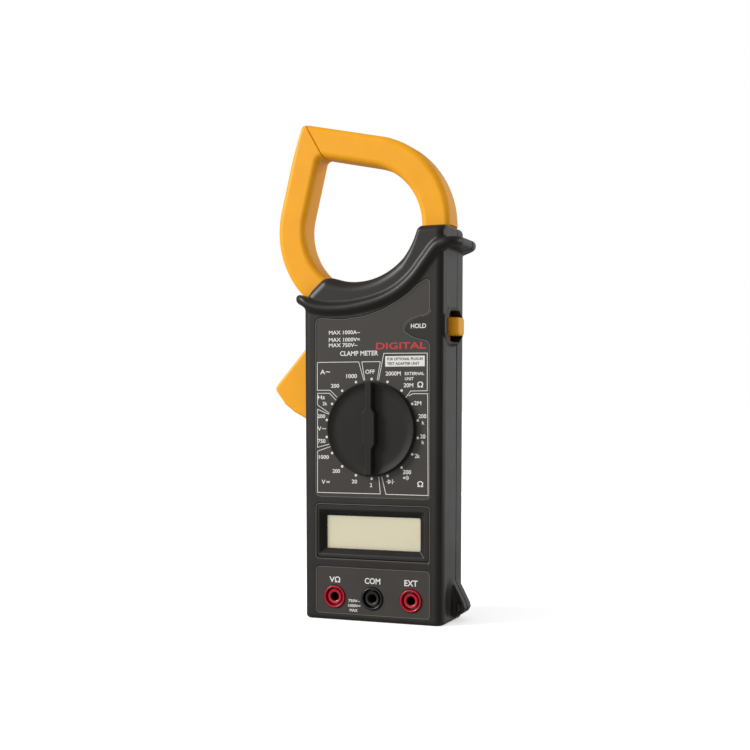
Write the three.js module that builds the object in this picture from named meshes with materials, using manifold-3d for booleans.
// Digital clamp meter: a flat two-shell case, a sprung jaw with its trigger lever,
// a rotary range switch, a hold button, three test sockets, a display and a 9 V battery.
// Millimetres. X to the right seen from the front, Y to the back, Z up, origin at the
// centre of the flat bottom of the case.
import * as THREE from 'three'
import { mergeVertices } from 'three/addons/utils/BufferGeometryUtils.js'
import Module from 'manifold-3d'

const wasm = await Module()
wasm.setup()

// ---------------------------------------------------------------- driving dimensions
const GAP = 0.3
const FRONT = -17
const BACK = 17
const SEAM = 2
const WALL = 2
const CASE_TOP = 177.5
const HALF_WIDTH_BOTTOM = 33.5
const HALF_WIDTH_TOP = 34.5
const FRONT_CORNER = 4
const BACK_CORNER = 8
// the collar's side wall starts here, and the fixed jaw's neck stays inside it
const COLLAR_INSIDE = 33.3

// concave top edge of the case, under the jaw window
const ARC = { x: -9.3, z: 186.4, r: 31.9 }

// jaw ring: a circle drawn out to a tip along one axis, split along that axis
const RING = { x: -9.2, z: 180, inner: 29, outer: 43.2 }
const TIP_DISTANCE = 57
const SPLIT_TOP = 119.7
const SPLIT_BOTTOM = 264
const JAW_HALF_DEPTH = 7
const LEVER_HALF_DEPTH = 6
const CORE = { inner: 34.5, outer: 40.5, halfDepth: 4.5 }
const JAW_CAVITY = { inner: 32.7, outer: 42, halfDepth: 5.9 }
const PIVOT = { x: -19.5, z: 134.7 }
const HUB_RADIUS = 6.4
const PIVOT_RADIUS = 2.5
const PIVOT_BOSS_RADIUS = 4.6

const DIAL = { x: 0, z: 87.4, radius: 21.4 }
const ROTOR_RADIUS = 18
const JACKS = [-18.2, 0.2, 18.8]
const JACK_Z = 10.7
const JACK_RADIUS = 5.1
const HOLD = { y: -3.5, z: 133 }
// half height along Y, half height along Z and corner cut of the opening for the hold button
const HOLD_OPENING = [5, 6.9, 2]
const BOARD = { front: -10.6, back: -9, bottom: 5, top: 119, halfWidth: 30.5 }
const CASE_SCREWS = [[-25, 66], [25, 66], [5, 127], [28, 147]]
const BOARD_SCREWS = [[-26, 114], [27, 56.4]]
const SCREW_SHANK = 1.2
const SCREW_BORE = 1.3
const SCREW_HEAD = 3
const COVER = { top: 57, front: 11 }
const BAY = { left: -30.2, right: 26, bottom: 4, top: 35.6, front: -4.7 }
const BAY_WALL = 1
const COVER_SCREW = { x: 0, z: 46 }

// ---------------------------------------------------------------- shape helpers
const rad = THREE.MathUtils.degToRad

function solid(geometry) {
  geometry.deleteAttribute('normal')
  geometry.deleteAttribute('uv')
  const merged = mergeVertices(geometry, 1e-5)
  return new wasm.Manifold(new wasm.Mesh({
    numProp: 3,
    vertProperties: new Float32Array(merged.attributes.position.array),
    triVerts: new Uint32Array(merged.index.array),
  }))
}

const union = (...parts) => parts.reduce((whole, part) => whole.add(part))

function polygon(points) {
  return new THREE.Shape(points.map(([x, y]) => new THREE.Vector2(x, y)))
}

function arcPoints(x, y, r, fromDegrees, toDegrees, count) {
  return Array.from({ length: count + 1 }, (_, i) => {
    const a = rad(fromDegrees + (toDegrees - fromDegrees) * i / count)
    return [x + r * Math.cos(a), y + r * Math.sin(a)]
  })
}

function roundedRect(left, right, bottom, top, radius, count = 3) {
  return polygon([
    ...arcPoints(right - radius, bottom + radius, radius, -90, 0, count),
    ...arcPoints(right - radius, top - radius, radius, 0, 90, count),
    ...arcPoints(left + radius, top - radius, radius, 90, 180, count),
    ...arcPoints(left + radius, bottom + radius, radius, 180, 270, count),
  ])
}

// a shape drawn in X and Z, extruded along Y
function alongY(shape, front, back) {
  const geometry = new THREE.ExtrudeGeometry(shape, { depth: back - front, bevelEnabled: false })
  geometry.rotateX(Math.PI / 2).translate(0, back, 0)
  return solid(geometry)
}

// a shape drawn in X and Y, extruded along Z
function alongZ(shape, bottom, top) {
  const geometry = new THREE.ExtrudeGeometry(shape, { depth: top - bottom, bevelEnabled: false })
  return solid(geometry.translate(0, 0, bottom))
}

function box(left, right, front, back, bottom, top) {
  const geometry = new THREE.BoxGeometry(right - left, back - front, top - bottom)
  return solid(geometry.translate((left + right) / 2, (front + back) / 2, (bottom + top) / 2))
}

// cylinder with its axis along Y
function pin(x, z, radius, front, back, segments = 24) {
  const geometry = new THREE.CylinderGeometry(radius, radius, back - front, segments)
  return solid(geometry.translate(x, (front + back) / 2, z))
}

// cylinder with its axis along X
function crossPin(y, z, radius, left, right, segments = 16) {
  const geometry = new THREE.CylinderGeometry(radius, radius, right - left, segments)
  return solid(geometry.rotateZ(Math.PI / 2).translate((left + right) / 2, y, z))
}

// [radius, y] profile turned about the Y axis through x, z
function turned(profile, x, z, segments = 36) {
  const points = profile.map(([r, y]) => new THREE.Vector2(r, y))
  return solid(new THREE.LatheGeometry(points, segments).translate(x, 0, z))
}

function tubeAlong(points, radius, segments, sides) {
  const curve = new THREE.CatmullRomCurve3(points.map((p) => new THREE.Vector3(...p)))
  const section = polygon(arcPoints(0, 0, radius, 0, 360 - 360 / sides, sides - 1))
  return solid(new THREE.ExtrudeGeometry(section, { steps: segments, extrudePath: curve }))
}

// ---------------------------------------------------------------- case outline
// front view of the case, every edge moved inwards by inset
function caseOutline(inset) {
  const corner = Math.max(3 - inset, 0.6)
  const side = HALF_WIDTH_BOTTOM - inset
  const slack = 1.6
  return polygon([
    ...arcPoints(side - corner, inset + corner, corner, -90, 0, 3),
    [side + slack, CASE_TOP - 2.2 - inset],
    [side - 0.8, CASE_TOP - inset],
    [22.8 + inset, CASE_TOP - inset],
    ...arcPoints(ARC.x, ARC.z, ARC.r + inset, -22.5, -112, 14),
    [-24.6 - inset * 0.35, 157.1 - inset * 1.1],
    [-28.2 - inset * 0.1, 154.4 - inset * 1.45],
    [-side - slack, 147.8 - inset * 1.45],
    ...arcPoints(-side + corner, inset + corner, corner, 180, 270, 3),
  ])
}

// section of the case seen from above
function caseSection(inset) {
  const side = HALF_WIDTH_BOTTOM - inset
  const front = FRONT_CORNER - Math.min(inset, 3)
  const back = BACK_CORNER - inset
  return polygon([
    ...arcPoints(side - front, FRONT + inset + front, front, -90, 0, 4),
    ...arcPoints(side - back, BACK - inset - back, back, 0, 90, 5),
    ...arcPoints(-side + back, BACK - inset - back, back, 90, 180, 5),
    ...arcPoints(-side + front, FRONT + inset + front, front, 180, 270, 4),
  ])
}

// the case widens a little towards its top
function widened(geometry) {
  const position = geometry.attributes.position
  for (let i = 0; i < position.count; i += 1) {
    const growth = (HALF_WIDTH_TOP / HALF_WIDTH_BOTTOM - 1) * position.getZ(i) / CASE_TOP
    position.setX(i, position.getX(i) * (1 + growth))
  }
  return geometry
}

function caseBlock(inset, front, back) {
  const section = new THREE.ExtrudeGeometry(caseSection(inset), { depth: CASE_TOP, bevelEnabled: false })
  return solid(widened(section)).intersect(alongY(caseOutline(inset), front, back))
}

// ---------------------------------------------------------------- finger guard
const GUARD_LINE = [
  [-39.2, 147.4], [-35.1, 146.4], [-29.5, 143.7], [-22, 142.3], [-10.4, 142.5], [2.1, 144.9],
  [11.6, 148.8], [19.4, 154.8], [25.5, 162.2], [30.6, 168.7], [35.1, 170.8], [41.2, 171.6],
]
const GUARD_WIDTH = 4.6
const GUARD_REACH = 2

function guardRidge(front, back) {
  const line = new THREE.CatmullRomCurve3(GUARD_LINE.map(([x, z]) => new THREE.Vector3(x, z, 0)))
  const steps = 18
  const upper = []
  const lower = []
  for (let i = 0; i <= steps; i += 1) {
    const p = line.getPoint(i / steps)
    const t = line.getTangent(i / steps).multiplyScalar(GUARD_WIDTH / 2)
    upper.push([p.x - t.y, p.y + t.x])
    lower.push([p.x + t.y, p.y - t.x])
  }
  const strip = alongY(polygon([...lower, ...upper.reverse()]), FRONT - GUARD_REACH, BACK + GUARD_REACH)
  const plan = roundedRect(-39.5, 41.7, FRONT - GUARD_REACH, BACK + GUARD_REACH, 8, 5)
  return strip.intersect(alongZ(plan, 120, 190)).intersect(box(-60, 60, front, back, 120, 190))
}

// ---------------------------------------------------------------- jaw outlines
const TANGENT = Math.acos(RING.outer / TIP_DISTANCE) * 180 / Math.PI

// outline at one distance from the ring centre: a circle drawn out to the tip
function teardrop(r, blunt = 0) {
  const reach = r / Math.cos(rad(TANGENT)) - blunt
  const half = blunt * Math.tan(rad(TANGENT))
  const tip = (side) => [
    RING.x + reach * Math.cos(rad(SPLIT_TOP)) + side * half * Math.sin(rad(SPLIT_TOP)),
    RING.z + reach * Math.sin(rad(SPLIT_TOP)) - side * half * Math.cos(rad(SPLIT_TOP)),
  ]
  const round = arcPoints(RING.x, RING.z, r, SPLIT_TOP + TANGENT, SPLIT_TOP + 360 - TANGENT, 24)
  return blunt ? [...round, tip(1), tip(-1)] : [...round, tip(0)]
}

// wedge from the ring centre between two directions, pulled back from both by half a gap
function wedge(fromDegrees, toDegrees, halfDepth, gap = GAP) {
  const middle = rad((fromDegrees + toDegrees) / 2)
  const shift = gap / 2 / Math.sin(rad((toDegrees - fromDegrees) / 2))
  const x = RING.x + shift * Math.cos(middle)
  const z = RING.z + shift * Math.sin(middle)
  return alongY(polygon([[x, z], ...arcPoints(x, z, 120, fromDegrees, toDegrees, 4)]), -halfDepth, halfDepth)
}

function ringBetween(inner, outer, halfDepth) {
  const blunt = outer === RING.outer ? 0.9 : 0
  return alongY(polygon(teardrop(outer, blunt)), -halfDepth, halfDepth)
    .subtract(alongY(polygon(teardrop(inner)), -halfDepth - 1, halfDepth + 1))
}

// ring with its long edges bevelled
function softRing() {
  const bevel = 2
  const shape = polygon(teardrop(RING.outer - bevel, 0.9))
  shape.holes.push(new THREE.Path(polygon(teardrop(RING.inner + bevel)).getPoints().reverse()))
  const geometry = new THREE.ExtrudeGeometry(shape, {
    depth: 2 * (JAW_HALF_DEPTH - bevel),
    bevelSize: bevel,
    bevelThickness: bevel,
    bevelSegments: 2,
  })
  geometry.rotateX(Math.PI / 2).translate(0, JAW_HALF_DEPTH - bevel, 0)
  return solid(geometry)
}

function jawDisc(radius, halfDepth = JAW_HALF_DEPTH + 1) {
  return pin(PIVOT.x, PIVOT.z, radius, -halfDepth, halfDepth, 32)
}

// fixed and moving halves of the ring
const fixedSector = () => wedge(SPLIT_BOTTOM - 360, SPLIT_TOP, JAW_HALF_DEPTH + 1)
const movingSector = () => wedge(SPLIT_TOP, SPLIT_BOTTOM, JAW_HALF_DEPTH + 1)

// the part of the fixed jaw hidden in the case stands back from the case's arc
function neckClearance() {
  return pin(ARC.x, ARC.z, ARC.r + WALL + GAP, -20, 20, 48)
    .intersect(box(-12, 60, -20, 20, 140, CASE_TOP + GAP))
}

// ---------------------------------------------------------------- lever of the moving jaw
// seen from the front, from the ring down round the hub to the trigger
const CRANK = [
  [-36, 142.6], [-33.2, 139.4], [-31.4, 134.6], [-33.2, 130], [-37.2, 125.9], [-52.9, 107.9],
  [-54, 106.3], [-53.6, 104.6], [-51.9, 102.4], [-48.9, 98.4], [-44, 94.6], [-37.4, 91.2],
  [-30.8, 89.7], [-27.4, 91.6], [-21.5, 108], [-13.6, 128.6], [-13.2, 134.7], [-15.4, 140],
]
// hollow inside the lever
const LEVER_POCKET = [
  [-30, 96], [-28, 96], [-22.6, 112], [-24, 124], [-31, 126], [-39, 112], [-44, 106], [-40, 100],
]
const LEVER_WALL = 1.6

// hollow of a jaw, where its coil and core lie, between two directions
function jawHollow(fromDegrees, toDegrees) {
  return ringBetween(JAW_CAVITY.inner, JAW_CAVITY.outer, JAW_CAVITY.halfDepth)
    .intersect(wedge(fromDegrees, toDegrees, JAW_CAVITY.halfDepth))
}

// narrower passage that only the core fills, between two directions
function coreBore(fromDegrees, toDegrees) {
  return ringBetween(CORE.inner - GAP, CORE.outer + GAP, CORE.halfDepth + GAP)
    .intersect(wedge(fromDegrees, toDegrees, CORE.halfDepth + GAP))
}

function movingJawBody() {
  const crank = alongY(polygon(CRANK), -LEVER_HALF_DEPTH, LEVER_HALF_DEPTH)
    .subtract(alongY(polygon(teardrop(RING.inner + 3)), -20, 20))
  const pocket = alongY(polygon(LEVER_POCKET), -LEVER_HALF_DEPTH + LEVER_WALL, LEVER_HALF_DEPTH - LEVER_WALL)
  return union(softRing().intersect(movingSector()), crank, jawDisc(HUB_RADIUS, JAW_HALF_DEPTH))
    .subtract(jawDisc(PIVOT_RADIUS + GAP))
    .subtract(jawHollow(SPLIT_TOP - 2, SPLIT_BOTTOM - 9))
    .subtract(coreBore(SPLIT_BOTTOM - 16, SPLIT_BOTTOM + 3))
    .subtract(pocket)
}

// solid stretch of the fixed jaw inside the collar, where only the core passes
const neckBlock = () => box(-12, 60, -20, 20, 120, CASE_TOP + 3)

function fixedJawBody() {
  const collarWall = box(COLLAR_INSIDE - GAP, 60, -20, 20, 120, CASE_TOP + GAP)
  return softRing()
    .intersect(fixedSector())
    .subtract(neckClearance())
    .subtract(collarWall)
    .subtract(jawDisc(HUB_RADIUS + 0.6))
    .subtract(jawHollow(SPLIT_BOTTOM - 346, SPLIT_TOP + 2).subtract(neckBlock()))
    .subtract(coreBore(SPLIT_BOTTOM - 363, 20))
}

const frontHalf = (whole) => whole.intersect(box(-100, 100, -20, -GAP / 2, 50, 260))
const rearHalf = (whole) => whole.intersect(box(-100, 100, GAP / 2, 20, 50, 260))

function coreSegment(fromDegrees, toDegrees) {
  return ringBetween(CORE.inner, CORE.outer, CORE.halfDepth)
    .intersect(wedge(fromDegrees, toDegrees, CORE.halfDepth))
}

// winding: a sleeve round the core with a gap to it
function coil(fromDegrees, toDegrees) {
  const sector = wedge(fromDegrees, toDegrees, 20)
  return ringBetween(CORE.inner - 1.4, CORE.outer + 1.2, CORE.halfDepth + 1.1)
    .subtract(ringBetween(CORE.inner - GAP, CORE.outer + GAP, CORE.halfDepth + GAP))
    .intersect(sector)
}

// ---------------------------------------------------------------- openings in the case
const JAW_SLOT = JAW_HALF_DEPTH + 0.4

// room for the moving jaw and its lever on the left of the case
function movingJawSlot() {
  return box(-60, -20, -JAW_SLOT, JAW_SLOT, 88, 165)
}

function collarSlot() {
  const slot = pin(RING.x, RING.z, RING.outer + GAP, -JAW_SLOT, JAW_SLOT, 64)
  return slot
    .intersect(box(0, COLLAR_INSIDE, -JAW_SLOT, JAW_SLOT, 150, 190))
    .subtract(pin(ARC.x, ARC.z, ARC.r + WALL, -20, 20, 48))
}

const octagon = (halfY, halfZ, cut) => [
  [halfY, -halfZ + cut], [halfY, halfZ - cut], [halfY - cut, halfZ], [-halfY + cut, halfZ],
  [-halfY, halfZ - cut], [-halfY, -halfZ + cut], [-halfY + cut, -halfZ], [halfY - cut, -halfZ],
]

// an outline in Y and Z round the hold button, extruded along X
function alongX(points, left, right) {
  const shape = polygon(points.map(([y, z]) => [y, z]))
  const geometry = new THREE.ExtrudeGeometry(shape, { depth: right - left, bevelEnabled: false })
  geometry.rotateZ(Math.PI / 2).rotateY(Math.PI / 2)
  return solid(geometry.translate(left, HOLD.y, HOLD.z))
}

const holdOpening = (left, right) => alongX(octagon(...HOLD_OPENING), left, right)

function jackHoles(radius) {
  return union(...JACKS.map((x) => pin(x, JACK_Z, radius, -25, 0, 18)))
}

// posts from one shell to the other for the case screws
function posts(places, radius, front, back) {
  return union(...places.map(([x, z]) => pin(x, z, radius, front, back, 16)))
}

// ---------------------------------------------------------------- strap ear
function strapEar(front, back) {
  const ear = polygon([[30, 1.8], [34.8, 2], [38.2, 4.2], [39.3, 6.2], [38.7, 8.3], [33.9, 17.6], [30, 17.6]])
  return alongY(ear, front, back)
}

const strapHole = () => box(35.2, 36.8, -6, 12, 4.6, 8.4)
const earScoop = () => {
  const scoop = new THREE.SphereGeometry(1, 14, 8)
  scoop.scale(3, 5.2, 9).translate(35.4, -7.6, 11)
  return solid(scoop)
}

// ---------------------------------------------------------------- case shells
const LABEL_DEPTH = 0.7

function labelOutline(inset) {
  return polygon([
    [-27.7 + inset, 56.3 + inset], [27.8 - inset, 56.3 + inset], [27.8 - inset, 126.6 - inset],
    [19.8, 128.1 - inset], [15.2 - inset, 131.5], [15.8 - inset, 134.6], [19.5, 137 + inset],
    [27.8 - inset, 138.8 + inset], [27.8 - inset, 154.6 - inset * 2], [22.8, 152.4 - inset],
    [15.8, 146.5 - inset], [6.3, 141.3 - inset], [-3.3, 138.2 - inset], [-15, 136.9 - inset],
    [-27.7 + inset, 138.1 - inset],
  ])
}

const displayOutline = (inset) => roundedRect(-27.5 + inset, 27.6 - inset, 27.9 + inset, 52.9 - inset, 1.5)
const jackLabelOutline = (inset) => roundedRect(-27.3 + inset, 27.6 - inset, 3.1 + inset, 24.1 - inset, 1.5)

// blocks that hold the detent balls and their springs beside the rotor
function detentGuides() {
  return union(...[-1, 1].map((side) => {
    const [near, far] = [side * (ROTOR_RADIUS + 0.9), side * (ROTOR_RADIUS + 7.6)]
    const [left, right] = [Math.min(near, far), Math.max(near, far)]
    return box(left, right, FRONT + 1, -12, DIAL.z - 2.2, DIAL.z + 2.2)
  }))
}

const detentBores = () => crossPin(-13.7, DIAL.z, 1.4, -ROTOR_RADIUS - 7.2, ROTOR_RADIUS + 7.2, 12)

function frontCase() {
  const shell = caseBlock(0, FRONT, SEAM)
    .subtract(caseBlock(WALL, FRONT + WALL, SEAM + 1))
  const boss = alongX(octagon(6.8, 8.2, 2.4), 33.4, 37.2).intersect(box(30, 40, -12, SEAM, 120, 145))
  const solids = union(
    shell,
    guardRidge(-30, SEAM).subtract(caseBlock(0.5, FRONT, SEAM + 10)),
    boss.subtract(holdOpening(20, 50)),
    strapEar(-2, SEAM).subtract(caseBlock(1, FRONT, SEAM + 10)),
    box(28.5, 33.6, -14, SEAM, 1, 21).intersect(caseBlock(0.5, FRONT, SEAM)),
    posts(CASE_SCREWS, 3, FRONT + 1, SEAM),
    posts(BOARD_SCREWS, 2.6, FRONT + 1, BOARD.front - GAP),
    pin(PIVOT.x, PIVOT.z, PIVOT_BOSS_RADIUS, FRONT + 1, -JAW_SLOT),
    detentGuides(),
  )
  return solids
    .subtract(movingJawSlot())
    .subtract(collarSlot())
    .subtract(holdOpening(29, 50))
    .subtract(pin(PIVOT.x, PIVOT.z, PIVOT_RADIUS + 0.1, FRONT + WALL, 0))
    .subtract(posts(CASE_SCREWS, SCREW_BORE, -10, SEAM + 1))
    .subtract(posts(BOARD_SCREWS, SCREW_BORE, -14.6, -5))
    .subtract(alongY(labelOutline(0), FRONT - 1, FRONT + LABEL_DEPTH))
    .subtract(alongY(jackLabelOutline(0), FRONT - 1, FRONT + LABEL_DEPTH))
    .subtract(alongY(displayOutline(0), FRONT - 1, FRONT + WALL + 1))
    .subtract(pin(DIAL.x, DIAL.z, 13, FRONT - 1, 0, 40))
    .subtract(jackHoles(JACK_RADIUS + GAP))
    .subtract(detentBores())
    .subtract(earScoop())
    .subtract(strapHole())
}

function rearCase() {
  const from = SEAM + GAP
  const shell = caseBlock(0, from, BACK).subtract(caseBlock(WALL, SEAM - 1, BACK - WALL))
  const bay = box(
    BAY.left - BAY_WALL, BAY.right + BAY_WALL, BAY.front, COVER.front - 2, BAY.bottom - 1.6, BAY.top + BAY_WALL,
  )
  const ledge = caseBlock(1, COVER.front - 2, COVER.front - GAP).intersect(box(-40, 40, 0, 20, 0, COVER.top + 2))
  const coverRoom = box(-40, 40, COVER.front - GAP, 30, -1, COVER.top + GAP)
  const lip = caseBlock(1, COVER.front, BACK).intersect(box(-40, 40, 0, 20, COVER.top + GAP, COVER.top + WALL))
  const screwPosts = posts(CASE_SCREWS, 4.6, from, BACK - 1).subtract(box(-40, 40, 0, 30, 0, COVER.top))
  return union(
    shell.subtract(coverRoom),
    guardRidge(from, 30).subtract(caseBlock(0.5, SEAM - 10, BACK)),
    strapEar(from, 8).subtract(caseBlock(1, SEAM - 10, BACK)),
    bay,
    ledge,
    lip,
    screwPosts,
    pin(COVER_SCREW.x, COVER_SCREW.z, 3, 4, COVER.front - GAP),
    pin(PIVOT.x, PIVOT.z, PIVOT_BOSS_RADIUS, JAW_SLOT, BACK - 1),
  )
    .subtract(box(-29.6, -27, 0, 7.4, 34, 38))
    .subtract(box(BAY.left, BAY.right, BAY.front + BAY_WALL, 30, BAY.bottom, BAY.top))
    .subtract(coverRoom)
    .subtract(movingJawSlot())
    .subtract(collarSlot())
    .subtract(holdOpening(29, 50))
    .subtract(pin(PIVOT.x, PIVOT.z, PIVOT_RADIUS + 0.1, 0, BACK - WALL))
    .subtract(posts(CASE_SCREWS, 1.8, 0, 30))
    .subtract(posts(CASE_SCREWS, 3.4, BACK - 5, 30).subtract(box(-40, 40, 0, 40, 0, COVER.top)))
    .subtract(pin(COVER_SCREW.x, COVER_SCREW.z, SCREW_BORE, 4.6, 20))
    .subtract(strapHole())
}

// ---------------------------------------------------------------- battery cover and battery
const COVER_BACK = BACK + 0.6

function batteryCover() {
  const inside = box(-40, 40, 0, 30, -1, COVER.top)
  const outer = caseBlock(0, COVER.front, BACK).intersect(inside)
  const pad = alongY(roundedRect(-22, 22, 4, COVER.top - 4, 3), BACK - 1, COVER_BACK)
  const hollow = caseBlock(WALL, COVER.front - 1, BACK - WALL).intersect(box(-40, 40, 0, 30, 0, COVER.top - WALL))
  const post = pin(COVER_SCREW.x, COVER_SCREW.z, 4.4, COVER.front, BACK, 20)
  return union(outer.subtract(hollow), pad, post)
    .subtract(pin(COVER_SCREW.x, COVER_SCREW.z, 1.8, 0, 30, 16))
    .subtract(pin(COVER_SCREW.x, COVER_SCREW.z, 3.2, COVER_BACK - 3, 30, 20))
}

// a screw pointing forwards: head at the back, shank from the head to the tip
function screw(x, z, tipY, headY, headRadius, shankRadius) {
  const headHeight = 1.8
  const slot = 0.9
  const body = turned([
    [0, tipY], [shankRadius * 0.5, tipY], [shankRadius, tipY + 1.2], [shankRadius, headY],
    [headRadius, headY], [headRadius * 0.86, headY + headHeight], [0, headY + headHeight],
  ], x, z, 12)
  const from = headY + headHeight - slot
  const reach = headRadius * 0.6
  const half = 0.35
  return body
    .subtract(box(x - half, x + half, from, headY + 3, z - reach, z + reach))
    .subtract(box(x - reach, x + reach, from, headY + 3, z - half, z + half))
}

function battery() {
  return box(-23, 23.6, -3.2, 14.3, 6, 32.5).add(crossTerminals())
}

function crossTerminals() {
  return union(crossPin(5.5, 13, 2.8, -24.6, -22), crossPin(5.5, 25.6, 3.6, -24.6, -22))
}

function batterySnap() {
  return box(-27.4, -24.9, 0, 11, 8, 30.6)
}

// ---------------------------------------------------------------- board and small parts
function mainBoard() {
  const outline = polygon([
    [-BOARD.halfWidth, 22], [-BOARD.halfWidth, BOARD.top], [BOARD.halfWidth, BOARD.top],
    [BOARD.halfWidth, 22], [26, 22], [26, BOARD.bottom], [-26, BOARD.bottom], [-26, 22],
  ])
  return alongY(outline, BOARD.front, BOARD.back)
    .subtract(posts(CASE_SCREWS, 3.3, -20, 5))
    .subtract(posts(BOARD_SCREWS, 1.6, -20, 5))
    .subtract(jackHoles(2.9))
    .subtract(pin(DIAL.x, DIAL.z, 2.6, -20, 5, 16))
}

function jack(x) {
  return turned([
    [2.9, BOARD.front - GAP], [JACK_RADIUS, BOARD.front - GAP], [JACK_RADIUS, -17.3], [4.8, -17.6], [4.1, -17.6],
    [3.8, -17.3], [3.8, -12.6], [2.9, -12.6], [2.9, BOARD.front - GAP],
  ].reverse(), x, JACK_Z, 18)
}

// brass sleeve a test plug enters, soldered through the board
function jackSleeve(x) {
  return turned([[2, -5.2], [2.6, -5.2], [2.6, -16.4], [2, -16.4], [2, -5.2]].reverse(), x, JACK_Z, 14)
}

// frame round the display: its opening widens towards the front by the same amount all round
function displayBezel() {
  const opening = { left: -23, right: 22, bottom: 33, top: 47.2 }
  const flare = 3.2
  const frame = alongY(displayOutline(GAP), FRONT + 0.2, FRONT + WALL + 1)
  const funnel = new THREE.CylinderGeometry(Math.SQRT1_2, Math.SQRT1_2, 1, 4)
  funnel.rotateY(Math.PI / 4)
  const position = funnel.attributes.position
  for (let i = 0; i < position.count; i += 1) {
    const deep = position.getY(i) > 0
    const halfWidth = (opening.right - opening.left) / 2 + (deep ? 0 : flare)
    const halfHeight = (opening.top - opening.bottom) / 2 + (deep ? 0 : flare)
    position.setX(i, (opening.left + opening.right) / 2 + Math.sign(position.getX(i)) * halfWidth)
    position.setZ(i, (opening.bottom + opening.top) / 2 + Math.sign(position.getZ(i)) * halfHeight)
    position.setY(i, deep ? FRONT + WALL + 1.1 : FRONT + 0.1)
  }
  return frame.subtract(solid(funnel))
}

const displayWindow = () => box(-24, 25.6, -13.7, -12.9, 30.6, 50)
const displayGlass = () => box(-23.6, 25.2, -12.7, -11.9, 31, 49.6)
const displayFrame = () => box(-26.2, 27.4, -13.9, BOARD.front - GAP, 28.6, 52)
  .subtract(box(-24.3, 25.9, -20, -5, 30.3, 50.3))
const displayContact = () => box(-20, 21.6, -11.8, BOARD.front - 0.1, 31.4, 33.4)

// ---------------------------------------------------------------- range switch
// thin skirt, a body dished towards its middle, and the grip bar across it
function rangeKnob() {
  const body = DIAL.radius - 0.9
  const skirt = turned([
    [0, -17.3], [DIAL.radius, -17.3], [DIAL.radius, -18.1], [body, -18.2], [body, -19.6], [body - 1, -19.6],
    [15, -18.8], [9, -18.1], [0, -17.9],
  ].reverse(), DIAL.x, DIAL.z)
  const grip = polygon([
    [-1.5, -20], [1.5, -20], [1.5, -9.2], [3, -6.8], [3, 6.8], [1.5, 9.2], [1.5, 20], [-1.5, 20],
    [-1.5, 9.2], [-3, 6.8], [-3, -6.8], [-1.5, -9.2],
  ].map(([x, z]) => [DIAL.x + x, DIAL.z + z]))
  const bar = alongY(grip, -21.4, -17.6).intersect(turned([
    [0, -21.4], [body - 0.8, -21.4], [body - 0.1, -20.6], [body - 0.1, -17], [0, -17],
  ], DIAL.x, DIAL.z))
  const stem = pin(DIAL.x, DIAL.z, 12.6, -17.5, -15.1, 40)
  return union(skirt, bar, stem).subtract(pin(DIAL.x, DIAL.z, 4, -15.8, -15, 6))
}

function switchRotor() {
  const notches = Array.from({ length: 36 }, (_, i) => {
    const r = i % 2 ? ROTOR_RADIUS - 0.6 : ROTOR_RADIUS
    return [DIAL.x + r * Math.cos(rad(i * 10 + 10)), DIAL.z + r * Math.sin(rad(i * 10 + 10))]
  })
  const disc = alongY(polygon(notches), -14.9, -12.4)
  const recess = pin(DIAL.x, DIAL.z, 15.5, -13.4, -12, 24)
  const key = pin(DIAL.x, DIAL.z, 3.6, -15.6, -14.5, 6)
  const shaft = pin(DIAL.x, DIAL.z, 2.3, -14, -7.5, 16)
  return union(disc.subtract(recess), key, shaft)
}

const switchClip = () => turned([[2.6, -8.6], [4.2, -8.6], [4.2, -8], [2.6, -8], [2.6, -8.6]], DIAL.x, DIAL.z, 16)

// flat spring contact carried by the rotor, touching the board's tracks
function wiper(side) {
  const x = DIAL.x + side * 8
  return box(x - 3, x + 3, -13.1, -12.8, DIAL.z - 1.2, DIAL.z + 1.2)
    .add(box(x - 3, x - 2.4, -13.1, BOARD.front - 0.05, DIAL.z - 1.2, DIAL.z + 1.2))
    .add(box(x + 2.4, x + 3, -13.1, BOARD.front - 0.05, DIAL.z - 1.2, DIAL.z + 1.2))
}

function detentBall(side) {
  const ball = new THREE.SphereGeometry(1.1, 12, 8)
  return solid(ball.translate(DIAL.x + side * (ROTOR_RADIUS + 1.5), -13.7, DIAL.z))
}

function detentSpring(side) {
  const start = ROTOR_RADIUS + 2.9
  const points = Array.from({ length: 19 }, (_, i) => {
    const a = 2 * Math.PI * 3 * i / 18
    return [DIAL.x + side * (start + i * 4 / 18), -13.7 + 0.8 * Math.cos(a), DIAL.z + 0.8 * Math.sin(a)]
  })
  return tubeAlong(points, 0.2, 26, 4)
}

// ---------------------------------------------------------------- hold button
function holdButton() {
  const cap = alongX(octagon(4.2, 4, 0.9), 31.7, 38.2)
  const stem = crossPin(HOLD.y, HOLD.z, 1.6, 26.6, 32)
  const flange = alongX(octagon(5.6, 7.4, 2), 30.8, 31.8)
  return union(cap, stem, flange)
}

const holdSwitch = () => box(17.8, 24.4, -7.2, 0.4, 129.4, 136.6)
const holdBracket = () => box(12, 24, -8.7, -7.5, 116, 136)

// ---------------------------------------------------------------- jaw pivot and spring
const pivotPin = () => pin(PIVOT.x, PIVOT.z, PIVOT_RADIUS, FRONT + WALL + 0.4, BACK - WALL - 0.4, 20)

function jawSpring() {
  const turns = 2.5
  const count = 30
  const coilPoints = Array.from({ length: count + 1 }, (_, i) => {
    const a = rad(-90) + 2 * Math.PI * turns * i / count
    return [PIVOT.x + 6 * Math.cos(a), -14 + 4.6 * i / count, PIVOT.z + 6 * Math.sin(a)]
  })
  return tubeAlong(coilPoints, 0.5, 36, 5)
}

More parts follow.
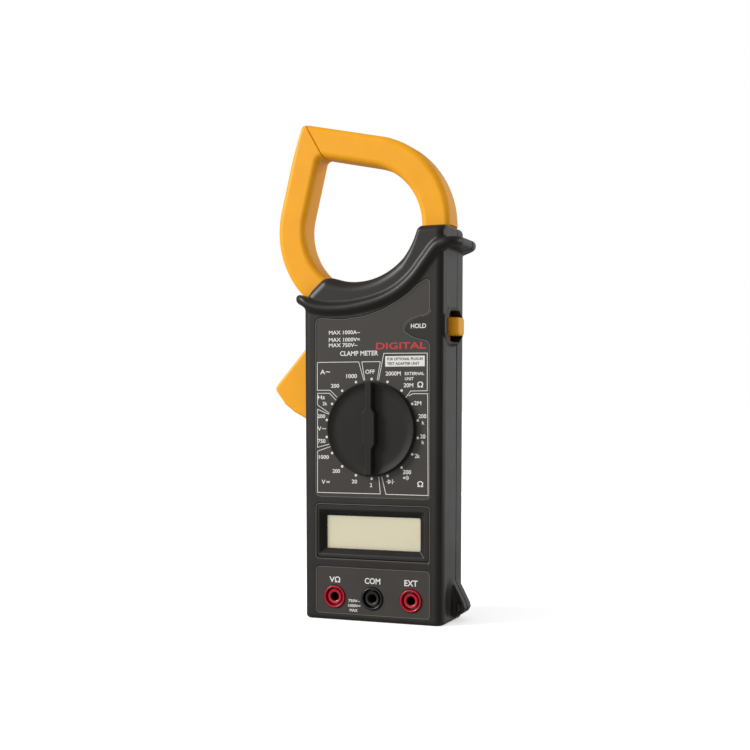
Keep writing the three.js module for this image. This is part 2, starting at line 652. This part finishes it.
const buzzer = () => turned([[0, -8.7], [6.5, -8.7], [6.5, -4.6], [1.2, -4.6], [1.2, -5.6], [0, -5.6]], 17, 90, 24)
const meterChip = () => box(-9, 9, -8.7, -6.9, 60, 72)
const trimmer = () => turned([[0, -8.7], [3, -8.7], [3, -6], [0, -6]], 24, 77, 16)

const LEAD_RADIUS = 0.6
const redLead = () => tubeAlong([
  [-28.3, 2.4, 24], [-28.3, 2.2, 33], [-28.2, 1.2, 39], [-26.5, -3.5, 44], [-23, -7.2, 47.6], [-22.6, -8.6, 48],
], LEAD_RADIUS, 14, 6)
const blackLead = () => tubeAlong([
  [-28.3, 6.4, 14], [-28.3, 5.6, 31], [-28.2, 4.6, 38], [-24, -1.5, 41], [-18.8, -7, 42.6], [-18.4, -8.6, 43],
], LEAD_RADIUS, 14, 6)

// ---------------------------------------------------------------- meshes
const black = { color: 0x2b2a29, roughness: 0.55, metalness: 0 }
const orange = { color: 0xf7a026, roughness: 0.45, metalness: 0 }
const steel = { color: 0xb9bcc0, roughness: 0.35, metalness: 1 }
const brass = { color: 0xc9a24a, roughness: 0.35, metalness: 1 }
const copper = { color: 0xb5652c, roughness: 0.45, metalness: 1 }
const label = { color: 0x4a4642, roughness: 0.6, metalness: 0 }
const red = { color: 0xb81f33, roughness: 0.35, metalness: 0 }

const part = new THREE.Group()
part.name = 'clamp_meter'

function place(name, body, look) {
  const mesh = body.getMesh()
  const geometry = new THREE.BufferGeometry()
  geometry.setAttribute('position', new THREE.BufferAttribute(mesh.vertProperties.slice(), 3))
  geometry.setIndex(new THREE.BufferAttribute(mesh.triVerts.slice(), 1))
  geometry.computeVertexNormals()
  const object = new THREE.Mesh(geometry, new THREE.MeshStandardMaterial(look))
  object.name = name
  part.add(object)
}

place('front_case', frontCase(), black)
place('rear_case', rearCase(), black)
place('battery_cover', batteryCover(), black)
place('battery_cover_screw', screw(COVER_SCREW.x, COVER_SCREW.z, 5.2, COVER_BACK - 2.9, 2.8, SCREW_SHANK), steel)
CASE_SCREWS.forEach(([x, z], i) => {
  place(`case_screw_${i + 1}`, screw(x, z, -8, BACK - 4.9, SCREW_HEAD, SCREW_SHANK), steel)
})

place('range_label', alongY(labelOutline(GAP), FRONT + 0.1, FRONT + LABEL_DEPTH - 0.1)
  .subtract(pin(DIAL.x, DIAL.z, 13, -20, 0, 40)), label)
place('jack_label', alongY(jackLabelOutline(GAP), FRONT + 0.1, FRONT + LABEL_DEPTH - 0.1)
  .subtract(jackHoles(JACK_RADIUS + GAP)), label)
place('display_bezel', displayBezel(), label)
place('display_frame', displayFrame(), { color: 0xd9d7cf, roughness: 0.6, metalness: 0 })
place('display_window', displayWindow(), { color: 0xd8dcd6, roughness: 0.1, metalness: 0 })
place('display_glass', displayGlass(), { color: 0xb9b8a0, roughness: 0.3, metalness: 0 })
place('display_contact_strip', displayContact(), { color: 0x8a8f93, roughness: 0.8, metalness: 0 })

place('main_board', mainBoard(), { color: 0x2f5b34, roughness: 0.6, metalness: 0 })
place('meter_chip', meterChip(), { color: 0x151515, roughness: 0.5, metalness: 0 })
place('buzzer', buzzer(), { color: 0x1b1b1b, roughness: 0.5, metalness: 0 })
place('trimmer', trimmer(), { color: 0x2a4f9a, roughness: 0.5, metalness: 0 })
BOARD_SCREWS.forEach(([x, z], i) => {
  place(`board_screw_${i + 1}`, screw(x, z, -14.2, BOARD.back + 0.1, 2.3, SCREW_SHANK), steel)
})

const jackNames = ['volt_ohm_jack', 'common_jack', 'external_jack']
JACKS.forEach((x, i) => {
  place(jackNames[i], jack(x), i === 1 ? black : red)
  place(`${jackNames[i]}_sleeve`, jackSleeve(x), brass)
})

place('range_knob', rangeKnob(), black)
place('switch_rotor', switchRotor(), { color: 0xe7e2d6, roughness: 0.5, metalness: 0 })
place('switch_clip', switchClip(), steel)
const sides = [['left', -1], ['right', 1]]
sides.forEach(([name, side]) => {
  place(`switch_wiper_${name}`, wiper(side), brass)
  place(`detent_ball_${name}`, detentBall(side), steel)
  place(`detent_spring_${name}`, detentSpring(side), steel)
})

place('hold_button', holdButton(), orange)
place('hold_switch', holdSwitch(), { color: 0x1d1d1f, roughness: 0.5, metalness: 0 })
place('hold_switch_board', holdBracket(), { color: 0x2f5b34, roughness: 0.6, metalness: 0 })

place('fixed_jaw_front', frontHalf(fixedJawBody()), orange)
place('fixed_jaw_rear', rearHalf(fixedJawBody()), orange)
place('fixed_core', coreSegment(SPLIT_BOTTOM - 360, SPLIT_TOP), steel)
place('fixed_coil', coil(20, 70), copper)
place('moving_jaw_front', frontHalf(movingJawBody()), orange)
place('moving_jaw_rear', rearHalf(movingJawBody()), orange)
place('moving_core', coreSegment(SPLIT_TOP, SPLIT_BOTTOM), steel)
place('moving_coil', coil(160, 212), copper)
place('jaw_pivot_pin', pivotPin(), steel)
place('jaw_spring', jawSpring(), steel)

place('battery_9v', battery(), { color: 0x3a3d42, roughness: 0.4, metalness: 0.3 })
place('battery_snap', batterySnap(), black)
place('battery_lead_red', redLead(), red)
place('battery_lead_black', blackLead(), black)

export default part
